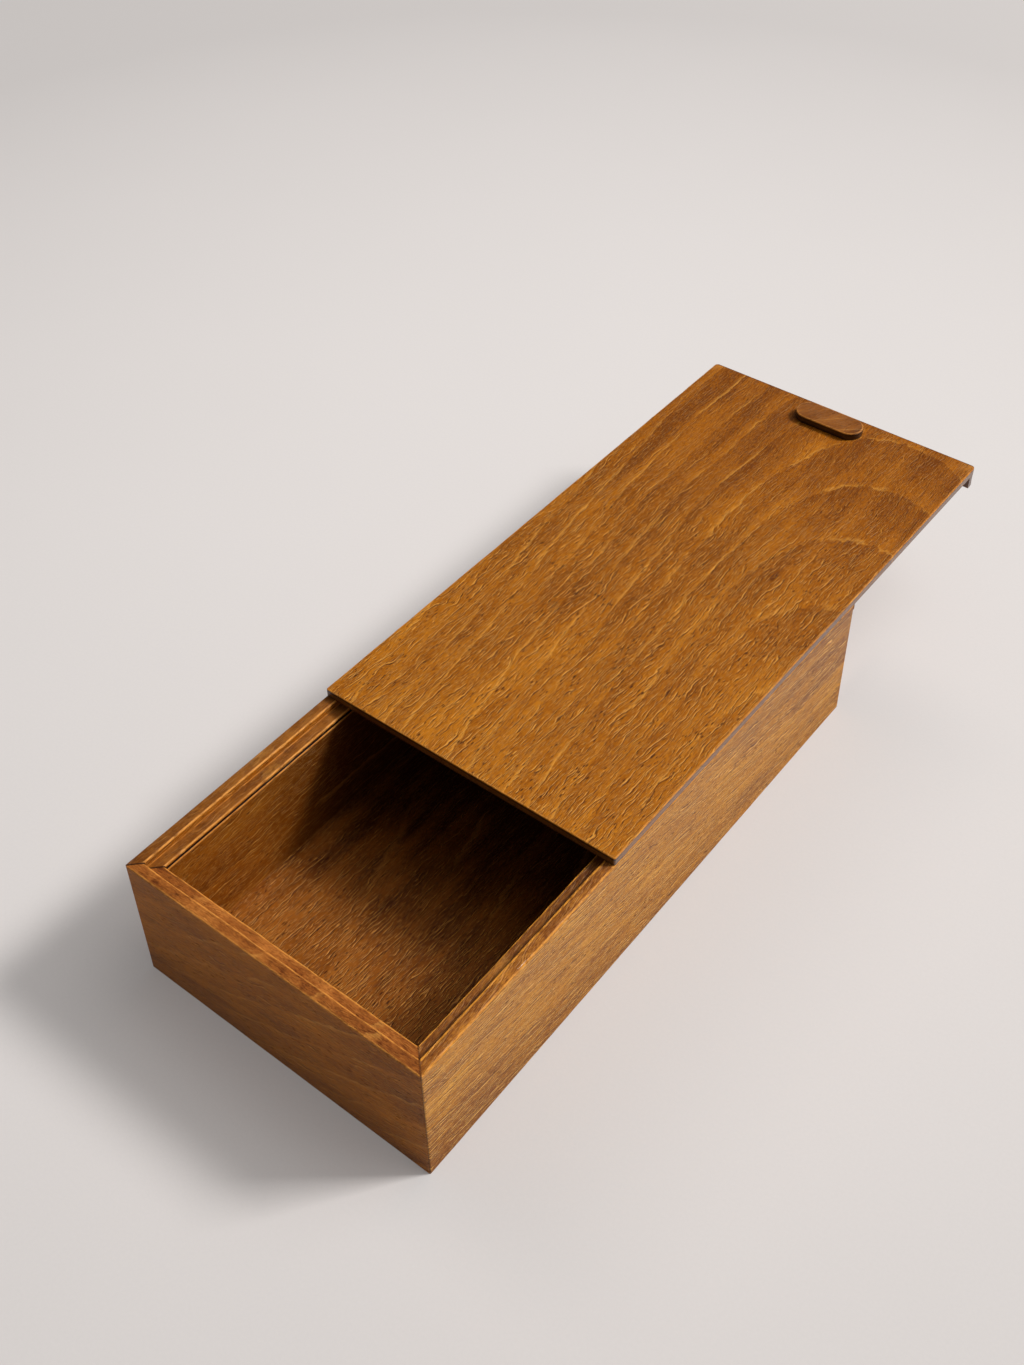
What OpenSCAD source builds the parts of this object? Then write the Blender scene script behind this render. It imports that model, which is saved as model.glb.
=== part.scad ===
// Wooden box with a sliding lid. Millimetres, +Z up.
// The origin is the centre of the underside; the front wall faces -Y and the lid slides back along +Y.

/* [Box] */
// Width across the two side walls
box_w = 125; // [100:1:200]
// Length from the front face to the back face
box_l = 250; // [200:1:400]
// Height of the walls, from the underside to the top of the rim
box_h = 55; // [45:0.5:120]
// Thickness of the four walls
wall_t = 8.7; // [8.2:0.1:12]
// Small flat along every outer arris
arris = 0.5; // [0.2:0.1:0.8]

/* [Rim] */
// Width of the raised rim that carries the lid
rim_w = 4.3; // [3.6:0.1:5]
// Depth of the rabbet inside the rim
rabbet_d = 2.8; // [2:0.1:4]
// Thickness of the ledge left above each runner groove
ledge_t = 1.0; // [0.8:0.1:2]
// Height of each runner groove
groove_h = 1.4; // [1.2:0.1:2]
// Depth of each runner groove
groove_d = 1.8; // [1.2:0.1:2.4]

/* [Floor] */
// Thickness of the floor panel
floor_t = 6.8; // [5:0.1:9]
// How far the floor panel reaches into the rabbet under each wall
floor_seat = 4.2; // [2.5:0.1:4.5]

/* [Corner splines] */
// Width of each spline, across the mitre
spline_w = 7; // [5:0.5:7.5]
// Thickness of each spline
spline_t = 1.6; // [1.2:0.1:2]
// Height of each spline
spline_h = 30; // [10:1:32]

/* [Lid] */
// How far the lid stands open
lid_open = 95; // [0:1:140]
// How far the lid opens before its runners meet the back wall
lid_travel = 140; // [140:1:160]
// Thickness of the lid plate
lid_t = 3.5; // [3:0.1:6]
// Radius of the lid plate's corners, seen from above
lid_corner_r = 1.6; // [0.8:0.1:4]
// Thickness of the lip that closes over the back wall
end_lip_t = 4; // [3:0.1:6]
// How far that lip hangs below the lid plate
end_lip_h = 5.4; // [4:0.1:9]
// Radius of the lip's lower outer edge
end_lip_r = 2.8; // [1:0.1:3]

/* [Runners] */
// Width of each runner strip
runner_w = 6; // [5:0.1:9]
// Height of each runner strip
runner_h = 3.2; // [3:0.1:4]
// Distance from the closed runners to the front wall
runner_setback = 3; // [1:0.5:10]

/* [Finger pull] */
// Length of the pull, across the lid
pull_l = 30.5; // [20:0.5:50]
// Width of the pull
pull_w = 12; // [8:0.5:16]
// Height of the pull
pull_h = 3.3; // [2.8:0.1:6]
// Easing of the pull's upper edge
pull_ease = 0.9; // [0.3:0.1:1]
// Distance from the middle of the pull to the closed box's back face
pull_inset = 6; // [6:0.1:20]

/* [Screws] */
// Diameter of the screw shanks
screw_d = 2; // [1.4:0.1:2.4]
// Diameter of the countersunk heads
screw_head_d = 3.6; // [3:0.1:4]
// Height of the countersunk heads
screw_head_h = 1.1; // [0.8:0.1:1.4]
// How far the runner screws reach above the guide panel, into the lid plate
runner_screw_bite = 1.6; // [0.8:0.1:2.4]
// How far the pull screws reach into the pull
pull_screw_bite = 2; // [1:0.1:2.2]
// Screws in each runner
runner_screws = 3; // [2:1:5]

/* [Fits] */
// Gap around everything that slides
slide_gap = 0.3; // [0.2:0.05:0.4]
// Gap up and down between each runner's flange and its groove
flange_gap = 0.25; // [0.15:0.05:0.3]
// Gap left where the lid comes to its stops
stop_gap = 0.2; // [0.1:0.05:0.4]
// Gap around a panel or spline in its seat
seat_gap = 0.15; // [0.05:0.05:0.3]
// Gap between a screw and its hole
hole_gap = 0.05; // [0.02:0.01:0.1]

/* [Hidden] */
$fn = 48;

wall_colour = [0.62, 0.42, 0.22];
end_colour = [0.50, 0.31, 0.15];
floor_colour = [0.56, 0.34, 0.15];
lid_colour = [0.66, 0.41, 0.17];
guide_colour = [0.42, 0.24, 0.10];
pull_colour = [0.58, 0.35, 0.17];
spline_colour = [0.75, 0.62, 0.42];
screw_colour = [0.78, 0.66, 0.36];

past = 1;                                   // how far a cut runs past the face it opens
half_w = box_w / 2;
half_l = box_l / 2;
inner_half_w = half_w - wall_t;
inner_half_l = half_l - wall_t;
ledge_z = box_h - rabbet_d;
groove_top = ledge_z - ledge_t;
groove_bottom = groove_top - groove_h;

spline_z = floor_t + (groove_bottom - floor_t - spline_h) / 2;
spline_from_corner = 0.57 * wall_t * sqrt(2);   // along the mitre, from the outer corner

lid_front = -half_l + lid_open;
lid_stop_face = lid_front + box_l + stop_gap;
lid_l = box_l + stop_gap + end_lip_t;
lid_top = box_h + lid_t;
guide_t = rabbet_d - slide_gap;
guide_bottom = box_h - guide_t;
guide_half_w = half_w - rim_w - slide_gap;
guide_front = lid_front + rim_w + stop_gap;

runner_front = lid_front + wall_t + runner_setback;
runner_back = lid_front + box_l - wall_t - stop_gap - lid_travel;
runner_l = runner_back - runner_front;
runner_outer = inner_half_w - slide_gap;
runner_bottom = guide_bottom - runner_h;
flange_reach = inner_half_w + groove_d - slide_gap;
flange_bottom = groove_bottom + flange_gap;
flange_t = groove_h - 2 * flange_gap;
runner_screw_x = runner_outer - runner_w / 2;
runner_screw_l = runner_h + guide_t + runner_screw_bite;
runner_screw_end = 10;                      // from each end of the runner to its nearest screw
runner_screw_pitch = (runner_l - 2 * runner_screw_end) / (runner_screws - 1);

pull_y = lid_front + box_l - pull_inset;
pull_screw_x = pull_l / 2 - pull_w / 2;
pull_screw_l = guide_t + lid_t + pull_screw_bite;

// ---- walls ----

// Section of a wall: outer face on x = 0, inside towards +x, height along y
module wall_section(has_groove) {
  difference() {
    polygon([
      [0, arris], [arris, 0], [wall_t, 0], [wall_t, ledge_z], [rim_w, ledge_z],
      [rim_w, box_h - arris / 2], [rim_w - arris / 2, box_h], [arris, box_h], [0, box_h - arris]
    ]);
    translate([wall_t - floor_seat - seat_gap, -past])
      square([floor_seat + seat_gap + past, floor_t + past]);
    if (has_groove)
      translate([wall_t - groove_d, groove_bottom])
        square([groove_d + past, groove_h]);
  }
}

// Plan of a mitred wall: outer face along y = 0, inside towards +y
module mitred_plan(length) {
  end = length / 2;
  polygon([
    [-end + arris, 0], [end - arris, 0], [end - arris / 2, arris / 2],
    [end - wall_t, wall_t], [-end + wall_t, wall_t], [-end + arris / 2, arris / 2]
  ]);
}

// A wall standing on z = 0 with its outer face on y = 0
module mitred_wall(length, has_groove) {
  intersection() {
    translate([-length / 2, 0, 0])
      rotate([90, 0, 90])
        linear_extrude(length)
          wall_section(has_groove);
    linear_extrude(box_h)
      mitred_plan(length);
  }
}

// A thin board across a mitre; grow = 0 gives the spline, seat_gap its slot
module corner_spline(side_x, side_y, grow) {
  inset = spline_from_corner / sqrt(2);
  translate([side_x * (half_w - inset), side_y * (half_l - inset), spline_z - grow])
    rotate([0, 0, side_x * side_y * -45])
      translate([-spline_w / 2 - grow, -spline_t / 2 - grow, 0])
        cube([spline_w + 2 * grow, spline_t + 2 * grow, spline_h + 2 * grow]);
}

module spline_slots() {
  for (side_x = [-1, 1], side_y = [-1, 1])
    corner_spline(side_x, side_y, seat_gap);
}

module front_wall() {
  color(end_colour)
    difference() {
      translate([0, -half_l, 0])
        mitred_wall(box_w, false);
      spline_slots();
    }
}

// The rim is cut away between the side walls, so that the guide panel passes over
module back_wall() {
  color(end_colour)
    difference() {
      translate([0, half_l, 0])
        rotate([0, 0, 180])
          mitred_wall(box_w, false);
      translate([-half_w + rim_w, half_l - wall_t - past, ledge_z])
        cube([box_w - 2 * rim_w, wall_t + 2 * past, rabbet_d + past]);
      spline_slots();
    }
}

module left_wall() {
  color(wall_colour)
    difference() {
      translate([-half_w, 0, 0])
        rotate([0, 0, -90])
          mitred_wall(box_l, true);
      spline_slots();
    }
}

module right_wall() {
  color(wall_colour)
    difference() {
      translate([half_w, 0, 0])
        rotate([0, 0, 90])
          mitred_wall(box_l, true);
      spline_slots();
    }
}

module floor_panel() {
  floor_w = 2 * (inner_half_w + floor_seat);
  floor_l = 2 * (inner_half_l + floor_seat);
  color(floor_colour)
    translate([-floor_w / 2, -floor_l / 2, 0])
      cube([floor_w, floor_l, floor_t]);
}

module spline_front_left() {
  color(spline_colour) corner_spline(-1, -1, 0);
}

module spline_front_right() {
  color(spline_colour) corner_spline(1, -1, 0);
}

module spline_back_left() {
  color(spline_colour) corner_spline(-1, 1, 0);
}

module spline_back_right() {
  color(spline_colour) corner_spline(1, 1, 0);
}

// ---- lid ----

// Section across the lid plate, with its four arrises eased
module plate_cross_section() {
  polygon([
    [arris, 0], [box_w - arris, 0], [box_w, arris], [box_w, lid_t - arris],
    [box_w - arris, lid_t], [arris, lid_t], [0, lid_t - arris], [0, arris]
  ]);
}

// Section along the lid plate; the far lower edge stays square to meet the end lip
module plate_long_section() {
  polygon([
    [arris, 0], [lid_l, 0], [lid_l, lid_t - arris], [lid_l - arris, lid_t],
    [arris, lid_t], [0, lid_t - arris], [0, arris]
  ]);
}

// Rectangle with four round corners
module rounded_rectangle(width, length, radius) {
  translate([radius, 0])
    square([width - 2 * radius, length]);
  translate([0, radius])
    square([width, length - 2 * radius]);
  for (x = [radius, width - radius], y = [radius, length - radius])
    translate([x, y])
      circle(r = radius);
}

// Countersunk wood screw with its head on z = 0, pointing up; grow > 0 gives its hole
module wood_screw(length, grow) {
  cylinder(h = length + grow, d = screw_d + 2 * grow);
  cylinder(h = screw_head_h, d1 = screw_head_d + 2 * grow, d2 = screw_d + 2 * grow);
}

module runner_screw_row(side, grow) {
  for (i = [0 : runner_screws - 1])
    translate([side * runner_screw_x, runner_front + runner_screw_end + i * runner_screw_pitch, runner_bottom])
      wood_screw(runner_screw_l, grow);
}

module pull_screw_pair(grow) {
  for (side = [-1, 1])
    translate([side * pull_screw_x, pull_y, guide_bottom])
      wood_screw(pull_screw_l, grow);
}

module lid_screws(grow) {
  runner_screw_row(-1, grow);
  runner_screw_row(1, grow);
  pull_screw_pair(grow);
}

module lid_plate() {
  color(lid_colour)
    difference() {
      translate([-half_w, lid_front, box_h])
        intersection() {
          rotate([90, 0, 90])
            linear_extrude(box_w)
              plate_long_section();
          translate([0, lid_l, 0])
            rotate([90, 0, 0])
              linear_extrude(lid_l)
                plate_cross_section();
          linear_extrude(lid_t)
            rounded_rectangle(box_w, lid_l, lid_corner_r);
        }
      lid_screws(hole_gap);
    }
}

// The panel under the plate, which runs between the rims and keeps the lid straight
module lid_guide_panel() {
  color(guide_colour)
    difference() {
      translate([-guide_half_w, guide_front, guide_bottom])
        cube([2 * guide_half_w, lid_stop_face - guide_front, guide_t]);
      lid_screws(hole_gap);
    }
}

// Section of the end lip: its inner face on x = 0, its lower outer edge round
module end_lip_section() {
  intersection() {
    translate([0, -end_lip_h])
      square([end_lip_t, end_lip_h]);
    union() {
      translate([0, -end_lip_h])
        square([end_lip_t - end_lip_r, end_lip_h]);
      translate([0, -end_lip_h + end_lip_r])
        square([end_lip_t, end_lip_h - end_lip_r]);
      translate([end_lip_t - end_lip_r, -end_lip_h + end_lip_r])
        circle(r = end_lip_r);
    }
  }
}

// The strip under the plate's far end, which closes over the back wall
module lid_end_lip() {
  color(lid_colour)
    intersection() {
      translate([-half_w, lid_stop_face, box_h])
        rotate([90, 0, 90])
          linear_extrude(box_w)
            end_lip_section();
      translate([-half_w, lid_front, box_h - end_lip_h])
        linear_extrude(end_lip_h)
          rounded_rectangle(box_w, lid_l, lid_corner_r);
    }
}

// A strip beside the wall; its flange runs in the groove and keeps the lid down
module lid_runner(side) {
  mirror([side < 0 ? 1 : 0, 0, 0])
    difference() {
      union() {
        translate([runner_outer - runner_w, runner_front, runner_bottom])
          cube([runner_w, runner_l, runner_h]);
        translate([runner_outer - runner_w / 2, runner_front, flange_bottom])
          cube([flange_reach - runner_outer + runner_w / 2, runner_l, flange_t]);
      }
      runner_screw_row(1, hole_gap);
    }
}

module lid_runner_left() {
  color(guide_colour) lid_runner(-1);
}

module lid_runner_right() {
  color(guide_colour) lid_runner(1);
}

// Block with half-round ends, standing on z = 0, with its upper edge eased
module stadium_block(length, width, height, ease) {
  end_x = (length - width) / 2;
  side_h = height - ease;
  for (side = [-1, 1])
    translate([side * end_x, 0, 0]) {
      cylinder(h = side_h, d = width);
      translate([0, 0, side_h])
        cylinder(h = ease, d1 = width, d2 = width - 2 * ease);
    }
  rotate([90, 0, 90])
    translate([0, 0, -end_x])
      linear_extrude(2 * end_x)
        polygon([
          [-width / 2, 0], [width / 2, 0], [width / 2, side_h],
          [width / 2 - ease, height], [-width / 2 + ease, height], [-width / 2, side_h]
        ]);
}

module finger_pull() {
  color(pull_colour)
    difference() {
      translate([0, pull_y, lid_top])
        stadium_block(pull_l, pull_w, pull_h, pull_ease);
      pull_screw_pair(hole_gap);
    }
}

module runner_screws_left() {
  color(screw_colour) runner_screw_row(-1, 0);
}

module runner_screws_right() {
  color(screw_colour) runner_screw_row(1, 0);
}

module pull_screws() {
  color(screw_colour) pull_screw_pair(0);
}

front_wall();
back_wall();
left_wall();
right_wall();
floor_panel();
spline_front_left();
spline_front_right();
spline_back_left();
spline_back_right();
lid_plate();
lid_guide_panel();
lid_end_lip();
lid_runner_left();
lid_runner_right();
finger_pull();
runner_screws_left();
runner_screws_right();
pull_screws();
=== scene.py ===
import math

import bmesh
import bpy
from mathutils import Euler, Matrix, Vector, noise


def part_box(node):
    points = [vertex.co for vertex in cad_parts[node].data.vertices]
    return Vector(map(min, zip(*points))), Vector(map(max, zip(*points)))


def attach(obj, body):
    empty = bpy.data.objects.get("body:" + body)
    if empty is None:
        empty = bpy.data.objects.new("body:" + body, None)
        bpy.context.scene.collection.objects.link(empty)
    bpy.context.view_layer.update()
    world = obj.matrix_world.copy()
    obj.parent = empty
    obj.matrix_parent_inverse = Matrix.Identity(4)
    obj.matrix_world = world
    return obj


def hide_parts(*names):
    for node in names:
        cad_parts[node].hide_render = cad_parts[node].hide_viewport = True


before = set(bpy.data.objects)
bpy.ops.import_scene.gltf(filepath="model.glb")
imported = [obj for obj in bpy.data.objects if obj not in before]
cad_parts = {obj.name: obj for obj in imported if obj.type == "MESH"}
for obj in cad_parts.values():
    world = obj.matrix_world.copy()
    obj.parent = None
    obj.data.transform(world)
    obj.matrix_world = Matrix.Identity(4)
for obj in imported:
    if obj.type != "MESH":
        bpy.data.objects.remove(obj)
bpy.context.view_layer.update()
print("frame loaded:", len(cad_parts), "nodes")

mm = 0.001


# shader maths: a wrapped socket takes part in sums, and one method makes any node

class Wire:                                       # one output socket that takes part in sums
    def __init__(self, shader, socket):
        self.shader = shader
        self.socket = socket

    def maths(self, operation, *values):
        sockets = dict(enumerate(values))
        return self.shader.node("Math", {"operation": operation}, sockets)

    def __add__(self, other):
        return self.maths("ADD", self, other)

    def __radd__(self, other):
        return self.maths("ADD", other, self)

    def __sub__(self, other):
        return self.maths("SUBTRACT", self, other)

    def __rsub__(self, other):
        return self.maths("SUBTRACT", other, self)

    def __mul__(self, other):
        return self.maths("MULTIPLY", self, other)

    def __rmul__(self, other):
        return self.maths("MULTIPLY", other, self)

    def __truediv__(self, other):
        return self.maths("DIVIDE", self, other)

    def __pow__(self, other):
        return self.maths("POWER", self, other)

    def fract(self):
        return self.maths("FRACT", self)

    def size(self):
        return self.maths("ABSOLUTE", self)

    def exp(self):
        return self.maths("EXPONENT", self)

    def smooth(self, low, high, toLow=0.0, toHigh=1.0):       # eased step from low to high
        settings = {"interpolation_type": "SMOOTHSTEP"}
        sockets = {"Value": self, "From Min": low, "From Max": high, "To Min": toLow, "To Max": toHigh}
        return self.shader.node("MapRange", settings, sockets)


class Shader:                                     # a material's or the world's node tree
    def __init__(self, owner):
        owner.use_nodes = True
        self.tree = owner.node_tree
        self.tree.nodes.clear()

    def plug(self, socket, value):
        if isinstance(value, Wire):
            self.tree.links.new(value.socket, socket)
        elif socket.type == "RGBA":
            socket.default_value = (*value[:3], 1.0)
        else:
            socket.default_value = value

    def node(self, kind, settings=None, sockets=None, out=0):
        made = self.tree.nodes.new("ShaderNode" + kind)
        for name, value in (settings or {}).items():
            if name == "stops":
                self.setStops(made.color_ramp, value)
            else:
                setattr(made, name, value)
        for name, value in (sockets or {}).items():
            self.plug(made.inputs[name], value)
        return Wire(self, made.outputs[out]) if made.outputs else None

    def setStops(self, ramp, stops):
        while len(ramp.elements) < len(stops):
            ramp.elements.new(0.5)
        for element, (place, colour) in zip(ramp.elements, stops):
            element.position = place
            element.color = (*colour, 1.0)

    def mix(self, first, second, factor):                     # colours
        settings = {"data_type": "RGBA", "clamp_factor": True}
        return self.node("Mix", settings, {0: factor, 6: first, 7: second}, out=2)

    def scaled(self, vector, factors):                        # vector times one number per axis
        return self.node("VectorMath", {"operation": "MULTIPLY"}, {0: vector, 1: factors})

    def noise(self, vector, detail=2.0, roughness=0.5):       # the vector is scaled by 1 / size
        sockets = {"Vector": vector, "Scale": 1.0, "Detail": detail, "Roughness": roughness}
        return self.node("TexNoise", {}, sockets)


def srgb(red, green, blue):                       # screen colour 0-255 to linear
    def linear(value):
        value /= 255
        return value / 12.92 if value <= 0.04045 else ((value + 0.055) / 1.055) ** 2.4
    return tuple(linear(value) for value in (red, green, blue))


# stained wood: growth rings, short wavy strokes, pores, worn arrises and dark joints, with painted shade on
# the inside and the sides

woodDefaults = {
    "order": ("X", "Y", "Z"),          # across, along and through the board
    "tilt": 0.0,                       # degrees between the grain and the board's length
    "offset": (0.0, 0.0, 0.0),         # moves the pattern, mm
    "dark": srgb(105, 51, 4),
    "middle": srgb(157, 89, 14),
    "light": srgb(185, 117, 31),
    "sawnTones": (srgb(98, 46, 14), srgb(152, 86, 33), srgb(196, 122, 54)),
    "gold": srgb(226, 162, 78),        # light strokes
    "worn": srgb(224, 150, 66),        # worn arrises
    "poreColour": srgb(62, 26, 3),
    "paintedShadeColour": srgb(54, 17, 1),     # painted shade for the inside of the box, away from the light
    "stainAndShadeColour": srgb(26, 10, 2),    # dark stain in the joints; painted shade in the grooves, at the foot of the rims and on the sides of the lid and pull
    "ringPitch": 8.1,                  # mm between growth rings
    "ringShift": -0.22,                # moves them, in pitches
    "ringLine": 0.55,                  # strength of the light ring lines
    "pith": (104.5, -0.223),           # where the arches centre across the board, and its drift
    "arch": (40.0, 0.0033),            # how wide they are there, mm, and how fast that grows along the board
    "archPower": 2.6,                  # 2 is an ellipse, more is squarer
    "bands": 0.34,                     # long streaks
    "blotch": 0.30,                    # cloudy patches
    "fibre": 0.20,                     # fine streaks
    "strokes": 0.70,                   # short wavy light and dark lines
    "strokePitch": 1.15,               # mm
    "strokeRun": 5.0,                  # mm, how long they run
    "strokeWidth": 0.24,               # mm
    "longStrokes": 0.65,               # the same, longer and further apart
    "pores": 0.85,
    "poreSize": (1.2, 4.4),            # mm across and along the grain
    "waviness": 1.0,                   # how far the grain wanders, as a share of the next two
    "drift": 9.0,                      # mm, slowly
    "ripple": 2.6,                     # mm, quickly
    "relief": 0.12,                    # mm, how deep strokes and pores are
    "roughness": 0.48,
    "coatRoughness": 0.16,             # where wax or polish was rubbed on
    "specular": 0.14,
    "calm": (900.0, 901.0),            # the strokes fade between these places along the board, mm
    "lean": (0.0, 1.0, 0.0),           # tone falls along the board: from here, over this length, mm, by this
    "middleGlow": (0.0, 30.0, 0.0),    # and to both sides: from here, over this half width, mm, by this
}

strokeSizes = ((1.0, 1.0, 1.0), (2.7, 2.4, 1.4), (0.42, 0.45, 0.6))     # pitch, run, width: short, long, fine
strokeStart = 0.3                      # of a pitch
strokeLines = (                        # a light and a dark line, in half widths from the start
    {"shown": (0.49, 0.58), "rise": (0.0, 1.0), "fall": (1.5, 2.5)},
    {"shown": (0.45, 0.56), "rise": (2.2, 3.2), "fall": (3.7, 5.0)},
)


def strokes(shader, grain, across, pitch, run, width, seed):      # wavy lines, light beside dark
    shift = (seed * 7.3, seed * 11.9, seed * 3.1)
    moved = shader.node("VectorMath", {"operation": "ADD"}, {0: grain, 1: shift})
    bendSpace = shader.scaled(moved, (0.30 / pitch, 0.55 / run, 0.30 / pitch))
    bend = shader.noise(bendSpace, detail=3.0, roughness=0.55)
    phase = ((across + (bend - 0.5) * pitch * 2.6) / pitch).fract()
    shown = shader.noise(shader.scaled(moved, (0.8 / pitch, 1 / run, 0.8 / pitch)), detail=2.0, roughness=0.6)
    halfWidth = width / pitch * 0.5               # in pitches
    lines = []
    for line in strokeLines:
        rise = [strokeStart + place * halfWidth for place in line["rise"]]
        fall = [strokeStart + place * halfWidth for place in line["fall"]]
        lines.append(shown.smooth(*line["shown"]) * phase.smooth(*rise) * phase.smooth(*fall, 1.0, 0.0))
    return lines


def woodMaterial(name, **changes):
    look = {**woodDefaults, **changes}
    material = bpy.data.materials.new(name)
    shader = Shader(material)
    place = shader.node("TexCoord", out="Object")
    split = {axis: shader.node("SeparateXYZ", sockets={0: place}, out=axis) for axis in "XYZ"}
    board = [split[axis] / mm for axis in look["order"]]
    joined = shader.node("CombineXYZ", sockets=dict(enumerate(board)))
    turn = (0.0, 0.0, math.radians(look["tilt"]))
    joined = shader.node("Mapping", sockets={"Vector": joined, "Location": look["offset"], "Rotation": turn})
    across, along, through = (shader.node("SeparateXYZ", sockets={0: joined}, out=axis) for axis in "XYZ")

    # the grain wanders slowly over the board
    drift = shader.noise(shader.scaled(joined, (1 / 38, 1 / 95, 1 / 38)), detail=1.0) - 0.5
    ripple = shader.noise(shader.scaled(joined, (1 / 9, 1 / 21, 1 / 9)), detail=2.0) - 0.5
    across = across + drift * look["drift"] * look["waviness"] + ripple * look["ripple"] * look["waviness"]
    grain = shader.node("CombineXYZ", sockets={0: across, 1: along, 2: through})

    # growth rings, nested arches where the saw went through them
    pithAcross, pithDrift = look["pith"]
    archWidth, archGrowth = look["arch"]
    power = look["archPower"]
    aside = (across - (along * pithDrift + pithAcross) + through * 0.3).size()
    above = (along * archGrowth).exp() * archWidth
    wobble = shader.noise(shader.scaled(joined, (1 / 4, 1 / 6, 1 / 4)), detail=3.0, roughness=0.6) - 0.5
    radius = (aside ** power + above ** power) ** (1 / power)
    phase = (radius / look["ringPitch"] + wobble * 0.26 + look["ringShift"]).fract()
    crest = (aside / radius).smooth(0.45, 0.9, 0.4, 1.0)      # thinner and fainter where a line runs across
    line = (phase.smooth(0.0, crest * 0.13, 1.0, 0.0) + phase.smooth(0.97, 1.0)) * (crest * 0.5 + 0.5)
    lineFade = shader.noise(shader.scaled(grain, (1 / 9, 1 / 40, 1 / 9)), detail=2.0).smooth(0.44, 0.60)
    ringGlow = (1 - phase) ** 2

    bands = shader.noise(shader.scaled(grain, (1 / 6, 1 / 110, 1 / 6)), detail=4.0, roughness=0.62)
    blotch = shader.noise(shader.scaled(joined, (1 / 17, 1 / 30, 1 / 17)), detail=3.0, roughness=0.6)
    fibre = shader.noise(shader.scaled(grain, (2.4, 1 / 5, 2.4)), detail=3.0, roughness=0.65)
    fine = shader.noise(shader.scaled(grain, (4.0, 1 / 1.8, 4.0)), detail=2.0)

    sawn = shader.node("Attribute", {"attribute_name": "sawn"}, out="Fac")
    slant = across + through * 0.83                # so that edges show the lines too
    calmStart, calmEnd = look["calm"]
    # painted shade on the inside of the box: darker colour and fainter strokes
    aged = shader.node("Attribute", {"attribute_name": "aged"}, out="Fac")
    amount = (1 - along.smooth(calmStart, calmEnd) * 0.7) * (1 - sawn * 0.8) * (1 - aged * 0.55)
    pitch, run, width = look["strokePitch"], look["strokeRun"], look["strokeWidth"]
    (light, dark), (longLight, longDark), (fineLight, fineDark) = (
        strokes(shader, grain, slant, pitch * pitches, run * runs, width * widths, seed)
        for seed, (pitches, runs, widths) in enumerate(strokeSizes, start=1))
    short, long = amount * look["strokes"], amount * look["longStrokes"]

    # pores: short dark dashes
    poreAcross, poreAlong = look["poreSize"]
    poreSpace = shader.scaled(grain, (1 / poreAcross, 1 / poreAlong, 1 / poreAcross))
    cells = {"Vector": poreSpace, "Scale": 1.0, "Randomness": 1.0}
    nearest = shader.node("TexVoronoi", {}, cells, out="Distance")
    poreSpread = shader.noise(shader.scaled(grain, (1 / 6, 1 / 14, 1 / 6)), detail=2.0)
    poreSpread = poreSpread.smooth(0.38, 0.62, 0.09, 0.25)
    pore = (nearest / poreSpread).smooth(0.55, 1.0, 1.0, 0.0)

    # noise keeps near 0.5, so its swing is widened
    tone = 0.5 + (bands - 0.5) * 2.6 * look["bands"] + (blotch - 0.5) * 2.2 * look["blotch"]
    tone = tone + (fibre - 0.5) * 2.2 * look["fibre"] + (fine - 0.5) * 2.2 * look["fibre"]
    tone = tone + (ringGlow - 0.33) * 0.36 * look["ringLine"]
    leanStart, leanLength, fall = look["lean"]
    centre, halfWidth, glow = look["middleGlow"]
    tone = tone - (along - leanStart) * (fall / leanLength) - ((across - centre) / halfWidth) ** 2 * glow

    # the sawn tops of the walls took the stain in patches
    patches = shader.noise(shader.scaled(place, (260, 260, 260)), detail=3.0, roughness=0.6)
    tone = tone + sawn * ((patches - 0.5) * 0.8 + 0.04)
    stops = [(0.12, look["dark"]), (0.5, look["middle"]), (0.88, look["light"])]
    colour = shader.node("ValToRGB", {"stops": stops}, {0: tone})
    sawnStops = list(zip((0.12, 0.5, 0.88), look["sawnTones"]))
    colour = shader.mix(colour, shader.node("ValToRGB", {"stops": sawnStops}, {0: tone}), sawn)
    # painted shade inside the box
    colour = shader.mix(colour, look["paintedShadeColour"], aged)
    colour = shader.mix(colour, look["gold"], line * lineFade * look["ringLine"])
    for tint, mask in (("gold", fineLight * 0.85 * short), ("poreColour", fineDark * 0.9 * short),
                       ("gold", light * short), ("poreColour", dark * short),
                       ("gold", longLight * long), ("poreColour", longDark * 0.9 * long),
                       ("poreColour", pore * amount * look["pores"])):
        colour = shader.mix(colour, look[tint], mask)

    # worn arrises show paler wood, joints hold dark stain, and painted shade darkens the grooves, the foot of
    # the rims and the sides of the lid and pull
    wear = shader.node("Attribute", {"attribute_name": "wear"}, out="Fac")
    wearNoise = shader.noise(shader.scaled(joined, (1 / 1.4, 1 / 4, 1 / 1.4)), detail=3.0, roughness=0.6)
    rubbed = wear * wearNoise.smooth(0.34, 0.56, 0.25, 1.0)
    colour = shader.mix(colour, look["worn"], rubbed * 0.9)
    # dark joint stain and painted shade share one attribute
    stain = shader.node("Attribute", {"attribute_name": "stain"}, out="Fac")
    colour = shader.mix(colour, look["stainAndShadeColour"], stain)

    polish = shader.node("Attribute", {"attribute_name": "polish"}, out="Fac")
    height = (fibre - 0.5) * 0.4 + (fine - 0.5) * 0.2 - pore
    height = height + (light - dark + longLight - longDark) * 0.6 + (fineLight - fineDark) * 0.25
    bump = shader.node("Bump", {}, {"Strength": 1.0, "Distance": look["relief"] * mm, "Height": height})
    roughness = look["roughness"] + (blotch - 0.5) * 0.16 + pore * 0.2 - rubbed * 0.08
    surface = shader.node("BsdfPrincipled", {}, {
        "Base Color": colour, "Roughness": roughness, "Specular IOR Level": look["specular"], "Normal": bump,
        "Coat Weight": polish, "Coat Roughness": look["coatRoughness"]})
    shader.node("OutputMaterial", {}, {"Surface": surface})
    return material


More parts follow.
